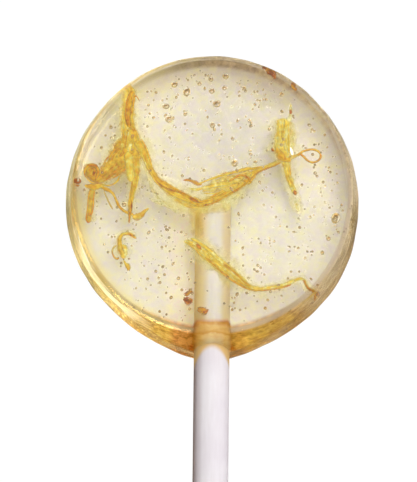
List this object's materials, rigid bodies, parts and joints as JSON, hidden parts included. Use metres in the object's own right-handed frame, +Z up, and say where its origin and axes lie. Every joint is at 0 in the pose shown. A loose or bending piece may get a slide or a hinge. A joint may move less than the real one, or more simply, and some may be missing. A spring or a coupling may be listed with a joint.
{
  "type": "lollipop",
  "caption": "Flat round lollipop of clear cream-yellow hard candy with dried golden flower threads and air bubbles inside, cast around a round white paper stick.",
  "frame": {"origin": "centre of the disc's flat poured face, which the lollipop lies on", "axes": "+Z up through the disc's thickness, towards the shown moulded face; the stick runs out along -Y; +X to the right"},
  "size_m": [0.0384, 0.122, 0.0085],
  "materials": {
    "clear_candy": "gloss",
    "white_paper": "matt",
    "dried_petal": "matt"
  },
  "bodies": {
    "root": {"candy": "clear_candy", "stick": "white_paper"}
  },
  "joints": []
}
